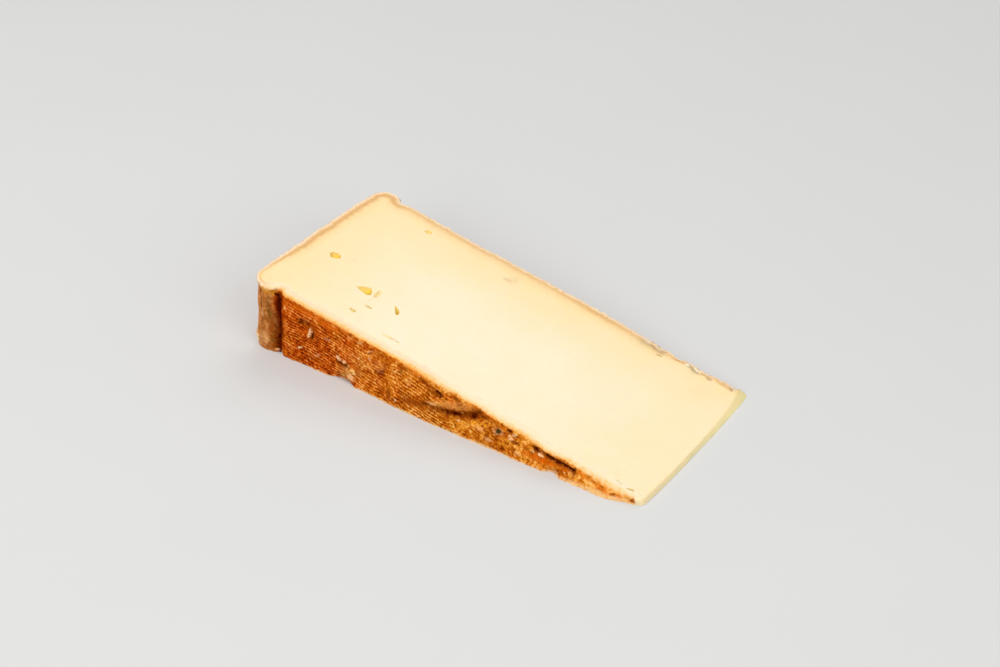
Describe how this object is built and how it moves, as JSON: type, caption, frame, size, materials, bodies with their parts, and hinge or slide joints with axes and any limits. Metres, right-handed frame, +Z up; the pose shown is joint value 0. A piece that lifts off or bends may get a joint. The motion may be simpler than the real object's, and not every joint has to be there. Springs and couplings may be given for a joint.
{
  "type": "wedge of vacherin fribourgeois",
  "caption": "Thin wedge of washed-rind semi-hard cheese lying on a cut face: smooth ivory paste with small eyes, orange cloth-marked rind on its front, back and heel.",
  "frame": {"origin": "middle of the bounding box in plan, at the height of the lower cut face that it rests on", "axes": "+X runs from the heel (the wheel's rim) to the thin tip, +Y from the shown rind side to the hidden one, +Z up from the lower cut to the upper"},
  "size_m": [0.1715, 0.0806, 0.0315],
  "materials": {
    "cheese": "ivory paste, smooth and slightly moist on the cuts, with a golden ripened band under an orange-brown, cloth-marked rind"
  },
  "bodies": {
    "root": {"cheese_wedge": "cheese"}
  },
  "joints": []
}
